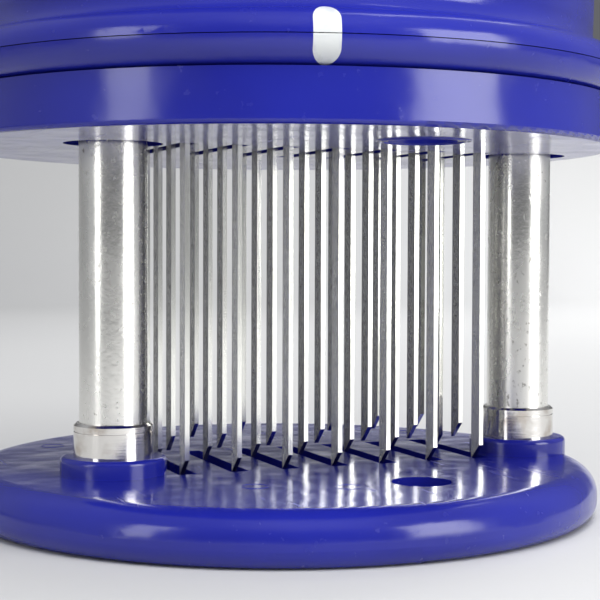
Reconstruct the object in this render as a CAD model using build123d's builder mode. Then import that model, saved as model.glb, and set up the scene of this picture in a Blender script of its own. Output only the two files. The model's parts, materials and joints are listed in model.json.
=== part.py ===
from build123d import *
import math
import os

# Hand-held blade tenderiser: a palm-pressed handle carries rows of steel blades
# that slide down through a slotted guard on two guide tubes, against springs.
# Frame: millimetres, +Z up, origin at the centre of the guard's flat bottom face.
# X runs along the line of the two guide tubes, -Y is the front.

os.makedirs("parts", exist_ok=True)

# ---------------------------------------------------------------- driving dimensions
GUARD_R = 49.5            # outer radius of the guard plate
GUARD_T = 7.5             # thickness of the guard plate
GUARD_TOP_ROLL = 4.0      # radius of the guard's rolled upper edge
GUARD_FOOT_ROLL = 2.6     # radius of the guard's lower edge
GAP = 48.3                # guard top to housing underside at rest

CORE_X = 5.5              # tubes and blades stand this far right of the plates' centre
TUBE_R = 5.0              # guide tube, outside
TUBE_BORE_R = 3.8         # guide tube, inside
POST_X = 34.1             # guide tubes, half spacing
POST_Y = -6.3             # guide tubes, line in front of the centre
BOSS_R = 7.8              # moulded boss round each tube
BOSS_H = 2.6
BOSS_EDGE = 0.7           # rounding of a boss's rim
SOCKET_DEPTH = 4.0        # how deep a tube sits in its boss
FERRULE_R = 5.8           # steel ferrule at the foot of each tube
FERRULE_H = 4.9
FERRULE_BEVEL = 0.35
FERRULE_GROOVE_D = 0.15   # turned groove below the ferrule's rim
FERRULE_GROOVE_H = 0.3
FERRULE_GROOVE_DROP = 1.0

COLUMNS = 7               # blades from side to side
COLUMN_PITCH = 8.14
ROWS = 4                  # blades from front to back
ROW_PITCH = 6.86
BLADE_T = 0.7             # blade thickness, along X
BLADE_W = 2.6             # blade width, along Y
BLADE_BEVEL = 2.5         # rise of the chisel-cut tip
HEAD_LIP = 0.9            # hook of the blade head, each side
LONG_TIP = -0.5           # tip height of the long rows above the guard top
SHORT_TIP = 2.3           # tip height of the short rows above the guard top

HOLDER_T = 4.0            # blade holder plate on the floor
HOLDER_SIDE = 3.74        # holder width beyond the outer columns, both sides together
HOLDER_ENDS = 15.0        # holder depth beyond the outer rows, both ends together
HOLDER_CORNER = 3.0
HEAD_T = 1.0              # blade heads above the holder
CLAMP_T = 3.0             # plate that holds the blade heads down
CLAMP_SCREW_COLUMN = 2.5  # the clamp screws stand this many columns from the middle
CLAMP_SCREW_IN = 3.0      # and this far inside the holder's ends
RIB_W = 4.0               # crossed ribs on the clamp
RIB_H = 3.0
RIB_CORNER = 1.5
RIB_SHORT = 8.0           # the ribs are shorter than the clamp by this

SLOT_W = 2.8
SLOT_END = 1.6            # slot end beyond the axis of the outer blade

ACCESS_X = 10.1           # screwdriver access hole
ACCESS_Y = -30.0
ACCESS_R = 4.4
ACCESS_BEVEL = 0.8
ACCESS_STEP = 0.3         # the housing's hole is wider than the guard's by this

HOUSING_R = 51.6          # plain band of the housing
BAND_H = 7.1
BAND_EDGE = 0.7           # rounding of the housing's lower edge
ROLL_R = 3.7              # rolled flange between housing and cap
ROLL_OUT_R = 53.5         # outermost radius of the rolled flange
FLOOR_T = 3.0             # floor of the housing
WALL_T = 2.6              # moulded walls
CLEAR_R = 7.3             # clearance hole round each tube in the housing floor
PARTING_GAP = 0.12        # seam between housing and cap

CAP_TOP = 113.0
CAP_NECK_R = 48.2
CAP_NECK_RISE = 3.4       # height of the cove between the roll and the cap's wall
CAP_NECK_OUT = 1.4        # how far the cove runs out over the roll
CAP_COVE_MID = (0.35, 1.2)   # middle of the cove: out from the wall, up from the roll
CAP_DRAFT = 0.6           # the wall leans out this much up to the shoulder
CAP_SHOULDER_R = 14.0
CAP_SHOULDER_Z = 97.0

BUSH_H = 6.0
BUSH_FLANGE_R = 8.0
BUSH_FLANGE_T = 2.0
BUSH_R = 6.6
BUSH_FIT = 0.06           # radial running clearance on the tube
POCKET_R = 7.3            # pocket in the spigot round each bush
CLIP_T = 0.9
CLIP_R = 5.8
CLIP_GROOVE = 0.5
CLIP_SPLIT_W = 4.0        # opening at the back of a clip
CLIP_SPLIT_D = 3.6
CLIP_PLAY = 0.05          # height between bush and clip
TUBE_END = 1.0            # tube left above the clip
BUSH_ROOM = 0.4           # holder and clamp stand clear of the bush flanges

BRIDGE_Z = 98.0           # underside of the spring bridge
BRIDGE_T = 2.5
BRIDGE_OUT_R = 43.0
BRIDGE_IN_R = 23.0
ROD_R = 3.2               # spring rod
ROD_PEG_R = 2.0
ROD_BOTTOM_Z = 58.0
PLUG_TOP_Z = 14.0
SPRING_R = 2.85           # spring, mean coil radius
SPRING_WIRE_R = 0.45
SPRING_TURNS = 13
SPRING_SEAT = 0.02        # gap at each end of a spring

SCREW_R = 1.25            # shank of the bridge and clamp screws
SCREW_CLEAR_R = 1.5
SCREW_HEAD_R = 2.6
SCREW_HEAD_H = 1.4
CLAMP_HOLE = 2.0          # depth of the clamp screws' holes in the floor
BRIDGE_HOLE = 12.0        # depth of the bridge screws' holes in the towers
BRIDGE_GRIP = 9.0         # length of bridge screw in a tower
CROSS_L = 3.2             # cross recess in a screw head
CROSS_W = 0.7
CROSS_D = 0.9
BASE_SCREW_R = 1.6
BASE_HEAD_R = 3.9
BASE_HEAD_H = 2.2
BASE_HEAD_Z = 0.4         # the base screws' heads are sunk below the guard face
BASE_CROSS_L = 4.4
BASE_HOLE_PLAY = 0.5      # round the base screws' shanks
BASE_HEAD_PLAY = 0.3      # round the base screws' heads
BASE_SCREW_END = 1.0      # the base screws stop this far below the plugs' tops

MARK_ANGLE = -15.1        # index mark, turned from the front about Z
MARK_W = 3.5              # white index mark across the seam
MARK_H = 7.2
MARK_DEPTH = 3.4

SPIGOT_R = 45.9           # housing spigot that the cap turns on
SPIGOT_T = 1.8
SPIGOT_TOP = 76.0
LUG_ANGLES = (30.0, 150.0, 270.0)
LUG_SPAN = 6.0            # degrees covered by one bayonet lug
LUG_PLAY = 1.0            # degrees of play at each end of a bayonet window
TWIST = 28.0              # degrees from locked to free
LUG_Z = 70.6
LUG_H = 2.4
LUG_MID = 0.3             # middle of a lug, inside the spigot's outer radius
LUG_D = 2.2               # lug depth, along the radius
WINDOW_PLAY = 0.6         # height of a bayonet window over the lug's
TOWER_R = 3.6             # towers that carry the spring bridge
TOWER_CIRCLE_R = 38.0
TOWER_ANGLES = (50.0, 150.0, 255.0)
RUN_IN = 1.0              # overlap that merges a boss, or runs a cut past a face

# ---------------------------------------------------------------- derived places
DECK_Z = GUARD_T                                  # top face of the guard
FLOOR_Z = GUARD_T + GAP                           # underside of the housing
INSIDE_Z = FLOOR_Z + FLOOR_T                      # upper face of the housing floor
ROLL_Z = FLOOR_Z + BAND_H + ROLL_R                # seam height, middle of the roll
BOSS_TOP_Z = DECK_Z + BOSS_H
TUBE_FOOT_Z = BOSS_TOP_Z - SOCKET_DEPTH
CLIP_Z = INSIDE_Z + BUSH_H + CLIP_PLAY
TUBE_TOP_Z = CLIP_Z + CLIP_T + TUBE_END
ROLL_MID_R = ROLL_OUT_R - ROLL_R
ROLL_45 = ROLL_R * math.sqrt(0.5)
POSTS = {
    "left": (CORE_X - POST_X, POST_Y),
    "right": (CORE_X + POST_X, POST_Y),
}
TOWERS = [
    (TOWER_CIRCLE_R * math.cos(math.radians(a)), TOWER_CIRCLE_R * math.sin(math.radians(a)))
    for a in TOWER_ANGLES
]
COLUMN_X = [CORE_X + (i - (COLUMNS - 1) / 2) * COLUMN_PITCH for i in range(COLUMNS)]
ROW_Y = [(j - (ROWS - 1) / 2) * ROW_PITCH for j in range(ROWS)]
SLOT_LEN = (ROWS - 1) * ROW_PITCH + 2 * SLOT_END

HOLDER_TOP_Z = INSIDE_Z + HOLDER_T
CLAMP_Z = HOLDER_TOP_Z + HEAD_T
CLAMP_TOP_Z = CLAMP_Z + CLAMP_T
HOLDER_W = (COLUMNS - 1) * COLUMN_PITCH + HOLDER_SIDE
HOLDER_D = (ROWS - 1) * ROW_PITCH + HOLDER_ENDS
CLAMP_SCREWS = [
    (CORE_X + sx * CLAMP_SCREW_COLUMN * COLUMN_PITCH, sy * (HOLDER_D / 2 - CLAMP_SCREW_IN))
    for sx in (-1, 1)
    for sy in (-1, 1)
]
SPRING_BOTTOM_Z = PLUG_TOP_Z + SPRING_WIRE_R + SPRING_SEAT
SPRING_TOP_Z = ROD_BOTTOM_Z - SPRING_WIRE_R - SPRING_SEAT

MARK_PLANE = Plane.XZ.rotated((0, 0, MARK_ANGLE)).offset(ROLL_OUT_R)


def save(part, name):
    """Label a finished piece and write it as its own STEP file."""
    part.label = name
    export_step(part, f"parts/{name}.step")


# ---------------------------------------------------------------- guard base
with BuildPart() as guard:
    with BuildSketch(Plane.XZ):
        with BuildLine():
            Polyline(
                (0, DECK_Z),
                (0, 0),
                (GUARD_R, 0),
                (GUARD_R, DECK_Z),
                close=True,
            )
        make_face()
    revolve(axis=Axis.Z)
    fillet(guard.edges().filter_by(GeomType.CIRCLE).group_by(Axis.Z)[-1], GUARD_TOP_ROLL)
    fillet(guard.edges().filter_by(GeomType.CIRCLE).group_by(Axis.Z)[0], GUARD_FOOT_ROLL)
    # moulded bosses that hold the tubes
    with BuildSketch(Plane.XY.offset(DECK_Z - RUN_IN)):
        with Locations(*POSTS.values()):
            Circle(BOSS_R)
    extrude(amount=BOSS_H + RUN_IN)
    fillet(guard.edges().filter_by(GeomType.CIRCLE).group_by(Axis.Z)[-1], BOSS_EDGE)
    # sockets for the tubes and countersunk screw holes from below
    with BuildSketch(Plane.XY.offset(BOSS_TOP_Z)):
        with Locations(*POSTS.values()):
            Circle(TUBE_R)
    extrude(amount=-SOCKET_DEPTH, mode=Mode.SUBTRACT)
    with BuildSketch(Plane.XY):
        with Locations(*POSTS.values()):
            Circle(BASE_SCREW_R + BASE_HOLE_PLAY)
    extrude(amount=TUBE_FOOT_Z, mode=Mode.SUBTRACT)
    with BuildSketch(Plane.XY):
        with Locations(*POSTS.values()):
            Circle(BASE_HEAD_R + BASE_HEAD_PLAY)
    extrude(amount=BASE_HEAD_Z + BASE_HEAD_H, mode=Mode.SUBTRACT)
    # blade slots, right through
    with BuildSketch(Plane.XY):
        with Locations(*[(x, 0) for x in COLUMN_X]):
            Rectangle(SLOT_W, SLOT_LEN)
    extrude(amount=DECK_Z, mode=Mode.SUBTRACT)
    # access hole
    with BuildSketch(Plane.XY):
        with Locations((ACCESS_X, ACCESS_Y)):
            Circle(ACCESS_R)
    extrude(amount=DECK_Z, mode=Mode.SUBTRACT)
save(guard.part, "guard_plate")

for side, (px, py) in POSTS.items():
    with BuildPart() as tube:
        with BuildSketch(Plane.XY.offset(TUBE_FOOT_Z)):
            with Locations((px, py)):
                Circle(TUBE_R)
                Circle(TUBE_BORE_R, mode=Mode.SUBTRACT)
        extrude(amount=TUBE_TOP_Z - TUBE_FOOT_Z)
        # groove for the retaining clip
        with BuildSketch(Plane.XY.offset(CLIP_Z)):
            with Locations((px, py)):
                Circle(TUBE_R + CLIP_GROOVE)
                Circle(TUBE_R - CLIP_GROOVE, mode=Mode.SUBTRACT)
        extrude(amount=CLIP_T, mode=Mode.SUBTRACT)
    save(tube.part, f"guide_tube_{side}")

    with BuildPart() as ferrule:
        with BuildSketch(Plane.XY.offset(BOSS_TOP_Z)):
            with Locations((px, py)):
                Circle(FERRULE_R)
        extrude(amount=FERRULE_H)
        chamfer(ferrule.edges().filter_by(GeomType.CIRCLE).group_by(Axis.Z)[-1], FERRULE_BEVEL)
        with BuildSketch(Plane.XY.offset(BOSS_TOP_Z + FERRULE_H - FERRULE_GROOVE_DROP)):
            with Locations((px, py)):
                Circle(FERRULE_R + RUN_IN)
                Circle(FERRULE_R - FERRULE_GROOVE_D, mode=Mode.SUBTRACT)
        extrude(amount=-FERRULE_GROOVE_H, mode=Mode.SUBTRACT)
        with BuildSketch(Plane.XY.offset(BOSS_TOP_Z)):
            with Locations((px, py)):
                Circle(TUBE_R)
        extrude(amount=FERRULE_H, mode=Mode.SUBTRACT)
    save(ferrule.part, f"foot_ferrule_{side}")

    with BuildPart() as bush:
        with BuildSketch(Plane.XY.offset(INSIDE_Z)):
            with Locations((px, py)):
                Circle(BUSH_FLANGE_R)
        extrude(amount=BUSH_FLANGE_T)
        with BuildSketch(Plane.XY.offset(INSIDE_Z)):
            with Locations((px, py)):
                Circle(BUSH_R)
        extrude(amount=BUSH_H)
        with BuildSketch(Plane.XY.offset(INSIDE_Z)):
            with Locations((px, py)):
                Circle(TUBE_R + BUSH_FIT)
        extrude(amount=BUSH_H, mode=Mode.SUBTRACT)
    save(bush.part, f"guide_bush_{side}")

    with BuildPart() as coil:
        with BuildLine():
            Helix(
                pitch=(SPRING_TOP_Z - SPRING_BOTTOM_Z) / SPRING_TURNS,
                height=SPRING_TOP_Z - SPRING_BOTTOM_Z,
                radius=SPRING_R,
                center=(px, py, SPRING_BOTTOM_Z),
            )
        with BuildSketch(Plane.XZ.offset(-py)):
            with Locations((px + SPRING_R, SPRING_BOTTOM_Z)):
                Circle(SPRING_WIRE_R)
        sweep(is_frenet=True)
    save(coil.part, f"return_spring_{side}")

with BuildPart() as plugs:
    with BuildSketch(Plane.XY.offset(TUBE_FOOT_Z)):
        with Locations(*POSTS.values()):
            Circle(TUBE_BORE_R)
            Circle(BASE_SCREW_R, mode=Mode.SUBTRACT)
    extrude(amount=PLUG_TOP_Z - TUBE_FOOT_Z)
save(plugs.part, "tube_plugs")

with BuildPart() as base_screws:
    with BuildSketch(Plane.XY.offset(BASE_HEAD_Z)):
        with Locations(*POSTS.values()):
            Circle(BASE_HEAD_R)
    extrude(amount=BASE_HEAD_H)
    with BuildSketch(Plane.XY.offset(BASE_HEAD_Z + BASE_HEAD_H)):
        with Locations(*POSTS.values()):
            Circle(BASE_SCREW_R)
    extrude(amount=PLUG_TOP_Z - BASE_SCREW_END - BASE_HEAD_Z - BASE_HEAD_H)
    with BuildSketch(Plane.XY.offset(BASE_HEAD_Z)):
        with Locations(*POSTS.values()):
            Rectangle(BASE_CROSS_L, CROSS_W)
            Rectangle(CROSS_W, BASE_CROSS_L)
    extrude(amount=CROSS_D, mode=Mode.SUBTRACT)
save(base_screws.part, "base_screws")

with BuildPart() as clips:
    with BuildSketch(Plane.XY.offset(CLIP_Z)):
        with Locations(*POSTS.values()):
            Circle(CLIP_R)
            Circle(TUBE_R - CLIP_GROOVE, mode=Mode.SUBTRACT)
    extrude(amount=CLIP_T)
    # the clips are split at the back
    with BuildSketch(Plane.XY.offset(CLIP_Z)):
        with Locations(*[(px, py + TUBE_R) for px, py in POSTS.values()]):
            Rectangle(CLIP_SPLIT_W, CLIP_SPLIT_D)
    extrude(amount=CLIP_T, mode=Mode.SUBTRACT)
save(clips.part, "retaining_clips")

# ---------------------------------------------------------------- handle: housing
with BuildPart() as housing:
    seam = ROLL_Z - PARTING_GAP / 2
    band_top = FLOOR_Z + BAND_H
    with BuildSketch(Plane.XZ):
        with BuildLine():
            Polyline(
                (0, INSIDE_Z),
                (0, FLOOR_Z),
                (HOUSING_R, FLOOR_Z),
                (HOUSING_R, band_top),
                (ROLL_MID_R, band_top),
            )
            ThreePointArc(
                (ROLL_MID_R, band_top),
                (ROLL_MID_R + ROLL_45, ROLL_Z - ROLL_45),
                (ROLL_OUT_R, seam),
            )
            Polyline(
                (ROLL_OUT_R, seam),
                (SPIGOT_R, seam),
                (SPIGOT_R, SPIGOT_TOP),
                (SPIGOT_R - SPIGOT_T, SPIGOT_TOP),
                (SPIGOT_R - SPIGOT_T, seam - WALL_T),
                (HOUSING_R - WALL_T, seam - WALL_T),
                (HOUSING_R - WALL_T, INSIDE_Z),
                (0, INSIDE_Z),
            )
        make_face()
    revolve(axis=Axis.Z)
    fillet(housing.edges().filter_by(GeomType.CIRCLE).group_by(Axis.Z)[0], BAND_EDGE)
    # towers that carry the spring bridge
    with BuildSketch(Plane.XY.offset(INSIDE_Z - RUN_IN)):
        with Locations(*TOWERS):
            Circle(TOWER_R)
    extrude(amount=BRIDGE_Z - INSIDE_Z + RUN_IN)
    with BuildSketch(Plane.XY.offset(BRIDGE_Z)):
        with Locations(*TOWERS):
            Circle(SCREW_R)
    extrude(amount=-BRIDGE_HOLE, mode=Mode.SUBTRACT)
    # pockets that let the bushes and tubes pass inside the spigot
    with BuildSketch(Plane.XY.offset(INSIDE_Z)):
        with Locations(*POSTS.values()):
            Circle(POCKET_R)
    extrude(amount=SPIGOT_TOP - INSIDE_Z, mode=Mode.SUBTRACT)
    # clearance holes for the tubes
    with BuildSketch(Plane.XY.offset(FLOOR_Z)):
        with Locations(*POSTS.values()):
            Circle(CLEAR_R)
    extrude(amount=FLOOR_T, mode=Mode.SUBTRACT)
    # blade slots
    with BuildSketch(Plane.XY.offset(FLOOR_Z)):
        with Locations(*[(x, 0) for x in COLUMN_X]):
            Rectangle(SLOT_W, SLOT_LEN)
    extrude(amount=FLOOR_T, mode=Mode.SUBTRACT)
    # access hole with a bevelled mouth
    with BuildSketch(Plane.XY.offset(FLOOR_Z)):
        with Locations((ACCESS_X, ACCESS_Y)):
            Circle(ACCESS_R + ACCESS_STEP)
    extrude(amount=FLOOR_T, mode=Mode.SUBTRACT)
    with BuildSketch(Plane.XY.offset(FLOOR_Z)):
        with Locations((ACCESS_X, ACCESS_Y)):
            Circle(ACCESS_R + ACCESS_STEP + ACCESS_BEVEL)
    extrude(amount=ACCESS_BEVEL, taper=45, mode=Mode.SUBTRACT)
    # screw holes for the blade clamp
    with BuildSketch(Plane.XY.offset(INSIDE_Z)):
        with Locations(*CLAMP_SCREWS):
            Circle(SCREW_R)
    extrude(amount=-CLAMP_HOLE, mode=Mode.SUBTRACT)
    # bayonet windows in the spigot, each with an entry at its free end
    for angle in LUG_ANGLES:
        with BuildSketch(Plane.XZ.rotated((0, 0, angle - LUG_SPAN / 2 - LUG_PLAY))):
            with Locations((SPIGOT_R - SPIGOT_T / 2, LUG_Z + LUG_H / 2)):
                Rectangle(SPIGOT_T + RUN_IN, LUG_H + WINDOW_PLAY)
        revolve(axis=Axis.Z, revolution_arc=TWIST + LUG_SPAN + 2 * LUG_PLAY, mode=Mode.SUBTRACT)
        with BuildSketch(Plane.XZ.rotated((0, 0, angle + TWIST - LUG_SPAN / 2 - LUG_PLAY))):
            with Locations((SPIGOT_R - SPIGOT_T / 2, (LUG_Z + SPIGOT_TOP) / 2 + RUN_IN)):
                Rectangle(SPIGOT_T + RUN_IN, SPIGOT_TOP - LUG_Z + 2 * RUN_IN)
        revolve(axis=Axis.Z, revolution_arc=LUG_SPAN + 2 * LUG_PLAY, mode=Mode.SUBTRACT)
    # recess for the lower half of the index mark
    with BuildSketch(MARK_PLANE):
        with Locations((0, ROLL_Z)):
            SlotOverall(MARK_H, MARK_W, rotation=90)
    extrude(amount=-MARK_DEPTH, mode=Mode.SUBTRACT)
save(housing.part, "housing")

# ---------------------------------------------------------------- handle: blades
with BuildPart() as holder:
    with BuildSketch(Plane.XY.offset(INSIDE_Z)):
        with Locations((CORE_X, 0)):
            RectangleRounded(HOLDER_W, HOLDER_D, HOLDER_CORNER)
    extrude(amount=HOLDER_T)
    # relief round the guide bushes
    with BuildSketch(Plane.XY.offset(INSIDE_Z)):
        with Locations(*POSTS.values()):
            Circle(BUSH_FLANGE_R + BUSH_ROOM)
    extrude(amount=HOLDER_T, mode=Mode.SUBTRACT)
    with BuildSketch(Plane.XY.offset(INSIDE_Z)):
        with Locations(*[(x, y) for x in COLUMN_X for y in ROW_Y]):
            Rectangle(BLADE_T, BLADE_W)
    extrude(amount=HOLDER_T, mode=Mode.SUBTRACT)
    with BuildSketch(Plane.XY.offset(INSIDE_Z)):
        with Locations(*CLAMP_SCREWS):
            Circle(SCREW_CLEAR_R)
    extrude(amount=HOLDER_T, mode=Mode.SUBTRACT)
save(holder.part, "blade_holder")

for row, y in enumerate(ROW_Y):
    tip = DECK_Z + (LONG_TIP if row % 2 == 0 else SHORT_TIP)
    with BuildPart() as blades:
        for x in COLUMN_X:
            with BuildSketch(Plane.YZ.offset(x - BLADE_T / 2)):
                with BuildLine():
                    Polyline(
                        (y + BLADE_W / 2, tip),
                        (y + BLADE_W / 2, HOLDER_TOP_Z),
                        (y + BLADE_W / 2 + HEAD_LIP, HOLDER_TOP_Z),
                        (y + BLADE_W / 2 + HEAD_LIP, CLAMP_Z),
                        (y - BLADE_W / 2 - HEAD_LIP, CLAMP_Z),
                        (y - BLADE_W / 2 - HEAD_LIP, HOLDER_TOP_Z),
                        (y - BLADE_W / 2, HOLDER_TOP_Z),
                        (y - BLADE_W / 2, tip + BLADE_BEVEL),
                        close=True,
                    )
                make_face()
            extrude(amount=BLADE_T)
    save(blades.part, f"blade_row_{row + 1}")

with BuildPart() as clamp:
    with BuildSketch(Plane.XY.offset(CLAMP_Z)):
        with Locations((CORE_X, 0)):
            RectangleRounded(HOLDER_W, HOLDER_D, HOLDER_CORNER)
        with Locations(*CLAMP_SCREWS):
            Circle(SCREW_CLEAR_R, mode=Mode.SUBTRACT)
    extrude(amount=CLAMP_T)
    # relief round the guide bushes
    with BuildSketch(Plane.XY.offset(CLAMP_Z)):
        with Locations(*POSTS.values()):
            Circle(BUSH_FLANGE_R + BUSH_ROOM)
    extrude(amount=CLAMP_T, mode=Mode.SUBTRACT)
    with BuildSketch(Plane.XY.offset(CLAMP_Z)):
        with Locations(*CLAMP_SCREWS):
            Circle(SCREW_HEAD_R)
            Circle(SCREW_CLEAR_R, mode=Mode.SUBTRACT)
    extrude(amount=-HEAD_T)
    # stiffening rib
    with BuildSketch(Plane.XY.offset(CLAMP_TOP_Z)):
        with Locations((CORE_X, 0)):
            RectangleRounded(HOLDER_W - RIB_SHORT, RIB_W, RIB_CORNER)
            RectangleRounded(RIB_W, HOLDER_D - RIB_SHORT, RIB_CORNER)
    extrude(amount=RIB_H)
save(clamp.part, "blade_clamp")

with BuildPart() as clamp_screws:
    with BuildSketch(Plane.XY.offset(INSIDE_Z - CLAMP_HOLE)):
        with Locations(*CLAMP_SCREWS):
            Circle(SCREW_R)
    extrude(amount=CLAMP_TOP_Z - INSIDE_Z + CLAMP_HOLE)
    with BuildSketch(Plane.XY.offset(CLAMP_TOP_Z)):
        with Locations(*CLAMP_SCREWS):
            Circle(SCREW_HEAD_R)
    extrude(amount=SCREW_HEAD_H)
    with BuildSketch(Plane.XY.offset(CLAMP_TOP_Z + SCREW_HEAD_H)):
        with Locations(*CLAMP_SCREWS):
            Rectangle(CROSS_L, CROSS_W)
            Rectangle(CROSS_W, CROSS_L)
    extrude(amount=-CROSS_D, mode=Mode.SUBTRACT)
save(clamp_screws.part, "clamp_screws")

# ---------------------------------------------------------------- handle: spring bridge
with BuildPart() as bridge:
    with BuildSketch(Plane.XY.offset(BRIDGE_Z)):
        Circle(BRIDGE_OUT_R)
        Circle(BRIDGE_IN_R, mode=Mode.SUBTRACT)
        with Locations(*TOWERS):
            Circle(SCREW_CLEAR_R, mode=Mode.SUBTRACT)
        with Locations(*POSTS.values()):
            Circle(ROD_PEG_R, mode=Mode.SUBTRACT)
    extrude(amount=BRIDGE_T)
save(bridge.part, "spring_bridge")

with BuildPart() as bridge_screws:
    with BuildSketch(Plane.XY.offset(BRIDGE_Z - BRIDGE_GRIP)):
        with Locations(*TOWERS):
            Circle(SCREW_R)
    extrude(amount=BRIDGE_T + BRIDGE_GRIP)
    with BuildSketch(Plane.XY.offset(BRIDGE_Z + BRIDGE_T)):
        with Locations(*TOWERS):
            Circle(SCREW_HEAD_R)
    extrude(amount=SCREW_HEAD_H)
    with BuildSketch(Plane.XY.offset(BRIDGE_Z + BRIDGE_T + SCREW_HEAD_H)):
        with Locations(*TOWERS):
            Rectangle(CROSS_L, CROSS_W)
            Rectangle(CROSS_W, CROSS_L)
    extrude(amount=-CROSS_D, mode=Mode.SUBTRACT)
save(bridge_screws.part, "bridge_screws")

for side, (px, py) in POSTS.items():
    with BuildPart() as rod:
        with BuildSketch(Plane.XY.offset(ROD_BOTTOM_Z)):
            with Locations((px, py)):
                Circle(ROD_R)
        extrude(amount=BRIDGE_Z - ROD_BOTTOM_Z)
        with BuildSketch(Plane.XY.offset(BRIDGE_Z)):
            with Locations((px, py)):
                Circle(ROD_PEG_R)
        extrude(amount=BRIDGE_T)
    save(rod.part, f"spring_rod_{side}")

# ---------------------------------------------------------------- cap
with BuildPart() as cap:
    seam = ROLL_Z + PARTING_GAP / 2
    roll_top = ROLL_Z + ROLL_R
    neck_z = roll_top + CAP_NECK_RISE
    cove_out, cove_up = CAP_COVE_MID
    wall_r = CAP_NECK_R + CAP_DRAFT
    shoulder_x = wall_r - CAP_SHOULDER_R
    shoulder_top = CAP_SHOULDER_Z + CAP_SHOULDER_R
    shoulder_45 = CAP_SHOULDER_R * math.sqrt(0.5)
    crown = CAP_TOP - shoulder_top
    dome_r = (shoulder_x**2 + crown**2) / (2 * crown)
    dome_mid = CAP_TOP - dome_r + math.sqrt(dome_r**2 - (shoulder_x / 2) ** 2)
    inner = CAP_SHOULDER_R - WALL_T
    inner_45 = inner * math.sqrt(0.5)
    with BuildSketch(Plane.XZ):
        with BuildLine():
            ThreePointArc(
                (ROLL_OUT_R, seam),
                (ROLL_MID_R + ROLL_45, ROLL_Z + ROLL_45),
                (ROLL_MID_R, roll_top),
            )
            Line((ROLL_MID_R, roll_top), (CAP_NECK_R + CAP_NECK_OUT, roll_top))
            ThreePointArc(
                (CAP_NECK_R + CAP_NECK_OUT, roll_top),
                (CAP_NECK_R + cove_out, roll_top + cove_up),
                (CAP_NECK_R, neck_z),
            )
            Line((CAP_NECK_R, neck_z), (wall_r, CAP_SHOULDER_Z))
            ThreePointArc(
                (wall_r, CAP_SHOULDER_Z),
                (shoulder_x + shoulder_45, CAP_SHOULDER_Z + shoulder_45),
                (shoulder_x, shoulder_top),
            )
            ThreePointArc((shoulder_x, shoulder_top), (shoulder_x / 2, dome_mid), (0, CAP_TOP))
            Polyline(
                (0, CAP_TOP),
                (0, shoulder_top - WALL_T),
                (shoulder_x, shoulder_top - WALL_T),
            )
            ThreePointArc(
                (shoulder_x, shoulder_top - WALL_T),
                (shoulder_x + inner_45, CAP_SHOULDER_Z + inner_45),
                (shoulder_x + inner, CAP_SHOULDER_Z),
            )
            Polyline(
                (shoulder_x + inner, CAP_SHOULDER_Z),
                (shoulder_x + inner, seam),
                (ROLL_OUT_R, seam),
            )
        make_face()
    revolve(axis=Axis.Z)
    # bayonet lugs
    for angle in LUG_ANGLES:
        with BuildSketch(Plane.XZ.rotated((0, 0, angle - LUG_SPAN / 2))):
            with Locations((SPIGOT_R - LUG_MID, LUG_Z + LUG_H / 2)):
                Rectangle(LUG_D, LUG_H)
        revolve(axis=Axis.Z, revolution_arc=LUG_SPAN)
    with BuildSketch(MARK_PLANE):
        with Locations((0, ROLL_Z)):
            SlotOverall(MARK_H, MARK_W, rotation=90)
    extrude(amount=-MARK_DEPTH, mode=Mode.SUBTRACT)
save(cap.part, "cap")

# ---------------------------------------------------------------- index marks
for name, low, high in (
    ("index_mark_housing", ROLL_Z - ROLL_R, ROLL_Z - PARTING_GAP / 2),
    ("index_mark_cap", ROLL_Z + PARTING_GAP / 2, ROLL_Z + ROLL_R),
):
    with BuildPart() as mark:
        with BuildSketch(MARK_PLANE):
            with Locations((0, ROLL_Z)):
                SlotOverall(MARK_H, MARK_W, rotation=90)
        extrude(amount=-MARK_DEPTH)
        with BuildSketch(Plane.XZ):
            with Locations((ROLL_MID_R, ROLL_Z)):
                Circle(ROLL_R)
        revolve(axis=Axis.Z, mode=Mode.INTERSECT)
        with BuildSketch(Plane.XY.offset(low)):
            Circle(ROLL_OUT_R + RUN_IN)
        extrude(amount=high - low, mode=Mode.INTERSECT)
    save(mark.part, name)
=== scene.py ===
import json
import math

import bmesh
import bpy
from mathutils import Matrix, Vector


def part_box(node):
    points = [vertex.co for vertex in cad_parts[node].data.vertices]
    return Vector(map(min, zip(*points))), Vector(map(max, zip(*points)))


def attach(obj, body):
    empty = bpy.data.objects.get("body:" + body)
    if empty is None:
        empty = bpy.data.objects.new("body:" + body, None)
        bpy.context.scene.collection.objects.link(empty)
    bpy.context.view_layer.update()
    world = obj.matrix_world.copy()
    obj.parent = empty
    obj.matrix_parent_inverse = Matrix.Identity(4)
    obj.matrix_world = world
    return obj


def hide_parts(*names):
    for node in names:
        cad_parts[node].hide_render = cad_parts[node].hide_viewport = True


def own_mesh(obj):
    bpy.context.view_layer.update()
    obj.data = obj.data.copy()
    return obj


# Hand-held blade tenderizer: materials, fine detail, light and camera around the CAD frame.
# Metres, +Z up, origin at the centre of the guard's flat bottom face, -Y is the front.

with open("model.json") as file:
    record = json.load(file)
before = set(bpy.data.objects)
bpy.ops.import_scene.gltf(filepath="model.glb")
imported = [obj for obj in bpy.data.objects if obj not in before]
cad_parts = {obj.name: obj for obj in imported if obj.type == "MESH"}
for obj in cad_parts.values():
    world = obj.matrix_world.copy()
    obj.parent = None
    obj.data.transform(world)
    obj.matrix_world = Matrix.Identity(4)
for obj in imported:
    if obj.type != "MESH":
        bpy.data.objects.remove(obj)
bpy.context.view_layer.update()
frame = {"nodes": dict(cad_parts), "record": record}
nodes = frame["nodes"]

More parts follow.
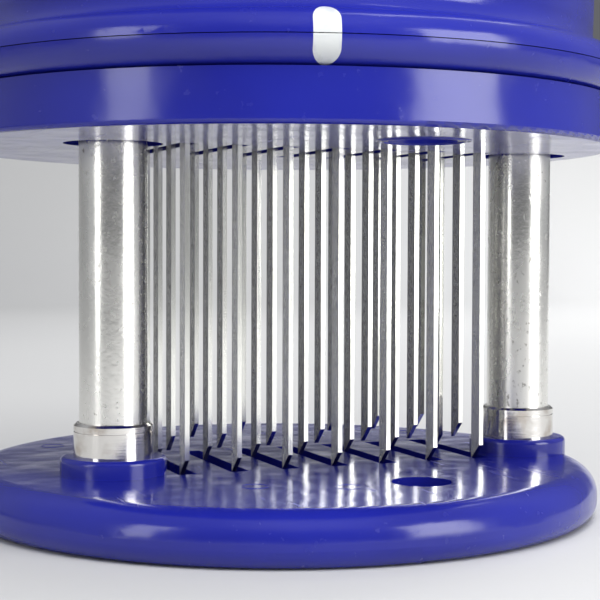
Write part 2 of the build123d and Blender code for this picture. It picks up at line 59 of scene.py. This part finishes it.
# ---------------------------------------------------------------- driving values
CAMERA_AT = Vector((-0.08347, -0.21455, 0.04019))
CAMERA_YAW = 0.38514        # turned from +Y towards +X
CAMERA_PITCH = 0.03351      # looking slightly down
CAMERA_ROLL = 0.00354
CAMERA_LENS = 87.44         # mm, on a 36 mm sensor

BOSS_HEIGHT = 0.0026        # of the guard's bosses, under the ferrules
ACCESS_AT = (0.0101, -0.030)
LIP_RING = (0.0061, 0.00022)         # radius and section of a moulded ring
STEP_RING = (0.0067, 0.00010)
EJECTOR_RING = (0.0019, 0.00008)
EJECTOR_SQUASH = 0.6
EJECTOR_MARKS = ((-0.0135, -0.0255), (-0.0015, -0.0305), (-0.0305, 0.0260), (0.0330, 0.0225))

BLUE = (0.0125, 0.0175, 0.27, 1.0)
BLUE_DEEP = (0.0095, 0.0125, 0.22, 1.0)
WHITE = (0.60, 0.62, 0.62, 1.0)
STEEL = (0.86, 0.85, 0.81, 1.0)
STEEL_BRIGHT = (0.88, 0.88, 0.83, 1.0)
ACETAL = (0.74, 0.73, 0.69, 1.0)
BUSH_ACETAL = (0.8, 0.79, 0.75, 1.0)
WHITE_SOILED = (0.46, 0.48, 0.50, 1.0)
TUBE_SOIL = (0.30, 0.28, 0.24, 1.0)
FERRULE = (0.76, 0.74, 0.71, 1.0)
FERRULE_STAIN = (0.50, 0.45, 0.40, 1.0)
# painted shade: broad-face colour of the rows behind the front row, which the rows ahead and the tubes
# shadow
SHADED_BLADE_SIDE = (0.16, 0.155, 0.13, 1.0)
# painted light: broad-face colour of the front row, paler because it is lit
LIT_FRONT_BLADE_SIDE = (0.24, 0.235, 0.20, 1.0)
SPRING_WIRE = (0.6, 0.59, 0.57, 1.0)
SCREW = (0.58, 0.57, 0.55, 1.0)
BRIDGE = (0.6, 0.59, 0.58, 1.0)
PAPER = (0.57, 0.57, 0.565, 1.0)
PAPER_SHADE = (0.55, 0.55, 0.55, 1.0)
ROOM_TINT = (0.93, 0.95, 1.0, 1.0)
ROOM_STRENGTH = 0.47        # at the sides and above
ROOM_DIM = 0.14             # behind the camera and beyond the backdrop
ROOM_DIM_AXIS = Vector((-0.36, -0.93, 0.0)).normalized()
ROOM_DIM_START = 0.35       # cosines of the angle to that axis, where the dimming starts
ROOM_DIM_FULL = 0.98        # and where it is full

FLOOR_HALF_WIDTH = 4.0
FLOOR_FRONT = -6.0
FLOOR_BACK = 0.8            # where the backdrop's curve starts
BACKDROP_RADIUS = 0.45
BACKDROP_CURVE = math.radians(50.0)
BACKDROP_STEPS = 16

# name, azimuth and elevation in degrees, distance, width and height in m, power in W, target
GAP_MIDDLE = (0.0, 0.0, 0.045)
MIRRORED_LIGHTS = (
    ("softbox_right", 306.0, 14.0, 0.62, 0.30, 0.42, 2.4, GAP_MIDDLE),
    ("softbox_left", 202.0, 16.0, 0.62, 0.15, 0.42, 0.8, GAP_MIDDLE),
    ("softbox_top", 50.0, 66.0, 0.9, 0.6, 0.6, 3.4, GAP_MIDDLE),
)
# fill for the floor and backdrop, which also reaches the tool; glossy surfaces don't mirror it
FLOOR_LIGHTS = (
    ("floor_light_front", 250.0, 75.0, 0.26, 0.20, 0.20, 0.72, (0.0, -0.13, 0.0)),
    ("floor_light_right", 0.0, 85.0, 0.42, 0.45, 0.45, 2.1, (0.44, 0.28, 0.0)),
    ("backdrop_light", 308.0, 42.0, 0.40, 0.45, 0.45, 4.0, (0.68, 0.85, 0.08)),
)


# ---------------------------------------------------------------- material tools
class Shader:
    """A small helper round one Principled material's node tree."""

    def __init__(self, name, color, roughness, metallic=0.0):
        self.material = bpy.data.materials.new(name)
        self.material.use_nodes = True
        self.nodes = self.material.node_tree.nodes
        self.links = self.material.node_tree.links
        self.bsdf = self.nodes["Principled BSDF"]
        self.bsdf.inputs["Base Color"].default_value = color
        self.bsdf.inputs["Roughness"].default_value = roughness
        self.bsdf.inputs["Metallic"].default_value = metallic
        self.place = self.nodes.new("ShaderNodeTexCoord").outputs["Object"]
        self.last_bump = None

    def stretched(self, scale):
        """Object coordinates, scaled along each axis."""
        mapping = self.nodes.new("ShaderNodeMapping")
        mapping.inputs["Scale"].default_value = scale
        self.links.new(self.place, mapping.inputs["Vector"])
        return mapping.outputs["Vector"]

    def noise(self, scale, detail=3.0, stretch=(1, 1, 1), rough=0.5):
        """Noise of about 1/scale metres."""
        node = self.nodes.new("ShaderNodeTexNoise")
        node.inputs["Scale"].default_value = scale
        node.inputs["Detail"].default_value = detail
        node.inputs["Roughness"].default_value = rough
        self.links.new(self.stretched(stretch), node.inputs["Vector"])
        return node.outputs["Fac"]

    def ramp(self, value, low, high, start=0.0, end=1.0):
        """value between low and high, mapped to start..end and held outside."""
        node = self.nodes.new("ShaderNodeMapRange")
        node.inputs["From Min"].default_value = low
        node.inputs["From Max"].default_value = high
        node.inputs["To Min"].default_value = start
        node.inputs["To Max"].default_value = end
        self.links.new(value, node.inputs["Value"])
        return node.outputs["Result"]

    def math(self, operation, a, b):
        node = self.nodes.new("ShaderNodeMath")
        node.operation = operation
        for socket, value in zip(node.inputs, (a, b)):
            if isinstance(value, (int, float)):
                socket.default_value = value
            else:
                self.links.new(value, socket)
        return node.outputs["Value"]

    def blend_colors(self, factor, first, second):
        """Base colour that runs from first to second with factor."""
        node = self.nodes.new("ShaderNodeMix")
        node.data_type = "RGBA"
        node.inputs["A"].default_value = first
        node.inputs["B"].default_value = second
        self.links.new(factor, node.inputs["Factor"])
        self.links.new(node.outputs["Result"], self.bsdf.inputs["Base Color"])

    def roughen(self, value):
        self.links.new(value, self.bsdf.inputs["Roughness"])

    def bump(self, height, depth, strength=1.0):
        """Add relief of the given depth in metres, over what is there already."""
        node = self.nodes.new("ShaderNodeBump")
        node.inputs["Strength"].default_value = strength
        node.inputs["Distance"].default_value = depth
        self.links.new(height, node.inputs["Height"])
        if self.last_bump is not None:
            self.links.new(self.last_bump, node.inputs["Normal"])
        self.last_bump = node.outputs["Normal"]
        self.links.new(self.last_bump, self.bsdf.inputs["Normal"])

    def facing(self, axis):
        """How squarely the surface faces along X, Y or Z, 0 to 1."""
        geometry = self.nodes.new("ShaderNodeNewGeometry")
        split = self.nodes.new("ShaderNodeSeparateXYZ")
        self.links.new(geometry.outputs["True Normal"], split.inputs["Vector"])
        return self.math("ABSOLUTE", split.outputs[axis], 0.0)


def gloss_abs():
    """High-gloss moulded ABS: slightly wavy skin, faint wipe marks and fine scratches."""
    s = Shader("gloss_ultramarine_abs", BLUE, 0.07)
    s.bsdf.inputs["IOR"].default_value = 1.54
    s.bsdf.inputs["Specular IOR Level"].default_value = 0.42
    s.bsdf.inputs["Coat Weight"].default_value = 0.12
    s.bsdf.inputs["Coat Roughness"].default_value = 0.06
    s.blend_colors(s.ramp(s.noise(35.0, 2.0), 0.35, 0.65), BLUE, BLUE_DEEP)
    haze = s.ramp(s.noise(140.0, 4.0), 0.4, 0.7, 0.16, 0.23)
    wipes = s.ramp(s.noise(900.0, 3.0, (1.0, 0.06, 1.0)), 0.62, 0.72, 0.0, 0.10)
    s.roughen(s.math("ADD", haze, wipes))
    s.bump(s.noise(70.0, 2.0), 0.00045)
    s.bump(s.noise(420.0, 2.0), 0.000012)
    scratches = s.ramp(s.noise(2600.0, 2.0, (0.05, 1.0, 1.0)), 0.66, 0.70)
    s.bump(scratches, 0.000004, 0.4)
    return s.material


def white_abs():
    """White moulded mark with a slightly soiled, softly orange-peeled skin."""
    s = Shader("white_mark_abs", WHITE, 0.3)
    s.blend_colors(s.ramp(s.noise(500.0, 4.0), 0.5, 0.75), WHITE, WHITE_SOILED)
    s.roughen(s.ramp(s.noise(300.0), 0.3, 0.7, 0.22, 0.4))
    s.bump(s.noise(700.0), 0.00003)
    return s.material


def tube_steel():
    """Drawn stainless tube: long die lines, small dark pits and dull patches."""
    s = Shader("drawn_tube_steel", STEEL, 0.3, 1.0)
    grain = s.noise(900.0, 4.0, (1.0, 1.0, 0.03))
    pits = s.ramp(s.noise(1100.0, 3.0, (1.0, 1.0, 0.8), 0.65), 0.60, 0.70)
    patches = s.noise(120.0, 4.0, (1.0, 1.0, 0.5))
    soil = s.math("MULTIPLY", pits, s.ramp(patches, 0.4, 0.62))
    s.blend_colors(soil, STEEL, TUBE_SOIL)
    dull = s.ramp(patches, 0.35, 0.7, 0.20, 0.34)
    s.roughen(s.math("ADD", dull, s.math("MULTIPLY", pits, 0.15)))
    s.bump(grain, 0.000012)
    s.bump(s.noise(1500.0, 3.0), 0.00002, 0.8)
    s.bump(pits, 0.00003, -0.7)
    return s.material


def ferrule_steel():
    """Turned and polished collar: fine rings round it and few pits."""
    s = Shader("polished_ferrule_steel", FERRULE, 0.12, 1.0)
    rings = s.noise(5200.0, 2.0, (0.02, 0.02, 1.0))
    stain = s.ramp(s.noise(330.0, 4.0), 0.5, 0.72)
    s.blend_colors(stain, FERRULE, FERRULE_STAIN)
    s.roughen(s.ramp(s.noise(260.0), 0.3, 0.75, 0.09, 0.22))
    s.bump(rings, 0.000008)
    return s.material


def blade_steel(name, broad_color, painted_shade_amount):
    """Stamped strip: bright ground edges, and broad faces that are sheared and pitted, darker through their
    sheared grain and through a painted shade of the given amount.
    """
    s = Shader(name, STEEL_BRIGHT, 0.22, 1.0)
    broad = s.ramp(s.facing("X"), 0.4, 0.8)
    shear = s.noise(2200.0, 4.0, (1.0, 1.0, 0.5), 0.8)
    crumbs = s.ramp(shear, 0.48, 0.62)
    s.blend_colors(
        s.math("MULTIPLY", broad, s.math("ADD", painted_shade_amount, s.math("MULTIPLY", crumbs, 0.5))),
        STEEL_BRIGHT,
        broad_color,
    )
    s.roughen(s.math("ADD", 0.15, s.math("MULTIPLY", broad, 0.12)))
    s.bump(s.math("MULTIPLY", shear, broad), 0.0007)
    s.bump(s.noise(700.0, 3.0, (1.0, 1.0, 0.06)), 0.00002, 0.6)
    return s.material


def plain_steel(name, color, roughness):
    """Sheet and turned steel inside the handle, with a light brushed grain."""
    s = Shader(name, color, roughness, 1.0)
    grain = s.noise(1400.0, 3.0, (0.05, 1.0, 1.0))
    s.roughen(s.ramp(grain, 0.3, 0.7, roughness - 0.07, roughness + 0.1))
    s.bump(grain, 0.00001)
    return s.material


def matt_plastic(name, color):
    """Natural acetal, softly grained."""
    s = Shader(name, color, 0.45)
    s.blend_colors(s.ramp(s.noise(260.0), 0.35, 0.7), color, [c * 0.88 for c in color[:3]] + [1.0])
    s.roughen(s.ramp(s.noise(420.0), 0.3, 0.7, 0.36, 0.52))
    s.bump(s.noise(1600.0), 0.00001)
    return s.material


MATERIALS = {
    "blue_abs": gloss_abs(),
    "white_abs": white_abs(),
    "tube_steel": tube_steel(),
    "ferrule_steel": ferrule_steel(),
    # painted shade: every blade row gets the dark, shaded broad faces, with a large painted shade amount
    "blade_steel": blade_steel("shaded_blade_steel", SHADED_BLADE_SIDE, 0.45),
    "spring_steel": plain_steel("spring_wire", SPRING_WIRE, 0.24),
    "screw_steel": plain_steel("screw_steel", SCREW, 0.3),
    "bridge_steel": plain_steel("bridge_steel", BRIDGE, 0.35),
    "holder_plastic": matt_plastic("holder_acetal", ACETAL),
    "bush_plastic": matt_plastic("bush_acetal", BUSH_ACETAL),
}
for part in frame["record"]["subparts"]:
    node = nodes[part["node"]]
    node.data.materials.clear()
    node.data.materials.append(MATERIALS[part["material_slot"]])
# painted light: the front row's broad faces are paler because they are lit, with little painted shade,
# while the rows behind carry painted shade
lit_front_row = nodes["blade_row_1"].data.materials
lit_front_row[0] = blade_steel("lit_front_blade_steel", LIT_FRONT_BLADE_SIDE, 0.05)


# ---------------------------------------------------------------- fine detail
def moulded_ring(name, body, center, radius, section, squash=1.0):
    """A thin raised ring on a moulded face, as a closed mesh."""
    around, across = 96, 12
    mesh = bmesh.new()
    rows = []
    for i in range(around):
        turn = math.tau * i / around
        row = []
        for j in range(across):
            roll = math.tau * j / across
            out = radius + section * math.cos(roll)
            row.append(mesh.verts.new((
                center[0] + out * math.cos(turn),
                center[1] + out * math.sin(turn),
                center[2] + section * squash * math.sin(roll),
            )))
        rows.append(row)
    for a, b in zip(rows, rows[1:] + rows[:1]):
        for j in range(across):
            k = (j + 1) % across
            mesh.faces.new((a[j], b[j], b[k], a[k])).smooth = True
    bmesh.ops.recalc_face_normals(mesh, faces=mesh.faces)
    data = bpy.data.meshes.new(name)
    mesh.to_mesh(data)
    mesh.free()
    ring = bpy.data.objects.new(name, data)
    bpy.context.scene.collection.objects.link(ring)
    data.materials.append(MATERIALS["blue_abs"])
    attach(ring, body)


deck_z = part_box("foot_ferrule_left")[0][2] - BOSS_HEIGHT
floor_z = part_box("housing")[0][2]
moulded_ring("access_lip", "handle", (*ACCESS_AT, floor_z), *LIP_RING)
moulded_ring("access_step", "handle", (*ACCESS_AT, floor_z), *STEP_RING)
for number, place in enumerate(EJECTOR_MARKS, start=1):
    moulded_ring(
        f"ejector_mark_{number}", "guard_base", (*place, deck_z), *EJECTOR_RING, EJECTOR_SQUASH
    )


# ---------------------------------------------------------------- springs
def return_coil(side):
    """The coil in a guide tube, carried by the guard base in place of the part."""
    node = nodes[f"return_spring_{side}"]
    coil = bpy.data.objects.new(f"return_coil_{side}", node.data.copy())
    bpy.context.scene.collection.objects.link(coil)
    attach(coil, "guard_base")
    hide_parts(f"return_spring_{side}")
    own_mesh(coil)


for side in ("left", "right"):
    return_coil(side)


# ---------------------------------------------------------------- stage
def cyclorama():
    """Plain pale floor that curves up behind the tool, no higher than the gap shows."""
    profile = [(FLOOR_FRONT, 0.0)]
    for i in range(BACKDROP_STEPS + 1):
        turn = BACKDROP_CURVE * i / BACKDROP_STEPS
        out = BACKDROP_RADIUS * math.sin(turn)
        profile.append((FLOOR_BACK + out, BACKDROP_RADIUS - BACKDROP_RADIUS * math.cos(turn)))
    mesh = bmesh.new()
    rows = []
    for x in (-FLOOR_HALF_WIDTH, FLOOR_HALF_WIDTH):
        rows.append([mesh.verts.new((x, y, z)) for y, z in profile])
    for a, b, c, d in zip(rows[0], rows[0][1:], rows[1][1:], rows[1]):
        mesh.faces.new((a, d, c, b)).smooth = True
    data = bpy.data.meshes.new("floor")
    mesh.to_mesh(data)
    mesh.free()
    floor = bpy.data.objects.new("floor", data)
    bpy.context.scene.collection.objects.link(floor)
    s = Shader("pale_paper", PAPER, 0.75)
    s.blend_colors(s.ramp(s.noise(3.0, 2.0), 0.3, 0.7), PAPER, PAPER_SHADE)
    s.bump(s.noise(900.0), 0.00002)
    data.materials.append(s.material)


def softbox(name, azimuth, elevation, distance, width, height, power, target):
    """An area light that looks at target from an azimuth round Z and an elevation."""
    target = Vector(target)
    a, e = math.radians(azimuth), math.radians(elevation)
    away = Vector((math.cos(a) * math.cos(e), math.sin(a) * math.cos(e), math.sin(e)))
    light = bpy.data.lights.new(name, "AREA")
    light.shape = "RECTANGLE"
    light.size = width
    light.size_y = height
    light.energy = power
    lamp = bpy.data.objects.new(name, light)
    lamp.location = target + away * distance
    lamp.rotation_euler = away.to_track_quat("Z", "Y").to_euler()
    lamp.visible_camera = False
    bpy.context.scene.collection.objects.link(lamp)
    return lamp


def room():
    """Soft grey-white surroundings, dimmer behind the camera and beyond the backdrop."""
    world = bpy.data.worlds.new("room")
    bpy.context.scene.world = world
    world.use_nodes = True
    tree = world.node_tree
    place = tree.nodes.new("ShaderNodeTexCoord")
    toward = tree.nodes.new("ShaderNodeVectorMath")
    toward.operation = "DOT_PRODUCT"
    toward.inputs[1].default_value = ROOM_DIM_AXIS
    tree.links.new(place.outputs["Generated"], toward.inputs[0])
    either = tree.nodes.new("ShaderNodeMath")
    either.operation = "ABSOLUTE"
    tree.links.new(toward.outputs["Value"], either.inputs[0])
    shade = tree.nodes.new("ShaderNodeMapRange")
    shade.interpolation_type = "SMOOTHSTEP"
    shade.inputs["From Min"].default_value = ROOM_DIM_START
    shade.inputs["From Max"].default_value = ROOM_DIM_FULL
    shade.inputs["To Min"].default_value = ROOM_STRENGTH
    shade.inputs["To Max"].default_value = ROOM_DIM
    tree.links.new(either.outputs["Value"], shade.inputs["Value"])
    background = tree.nodes["Background"]
    background.inputs["Color"].default_value = ROOM_TINT
    tree.links.new(shade.outputs["Result"], background.inputs["Strength"])


cyclorama()
room()
for light in MIRRORED_LIGHTS:
    softbox(*light)
for light in FLOOR_LIGHTS:
    softbox(*light).visible_glossy = False


# ---------------------------------------------------------------- camera
def camera():
    data = bpy.data.cameras.new("camera")
    data.sensor_width = 36.0
    data.lens = CAMERA_LENS
    data.clip_start = 0.01
    view = bpy.data.objects.new("camera", data)
    turn = (
        Matrix.Rotation(-CAMERA_YAW, 4, "Z")
        @ Matrix.Rotation(math.pi / 2 - CAMERA_PITCH, 4, "X")
        @ Matrix.Rotation(CAMERA_ROLL, 4, "Z")
    )
    view.matrix_world = Matrix.Translation(CAMERA_AT) @ turn
    bpy.context.scene.collection.objects.link(view)
    bpy.context.scene.camera = view


camera()
bpy.context.scene.view_settings.view_transform = "Standard"
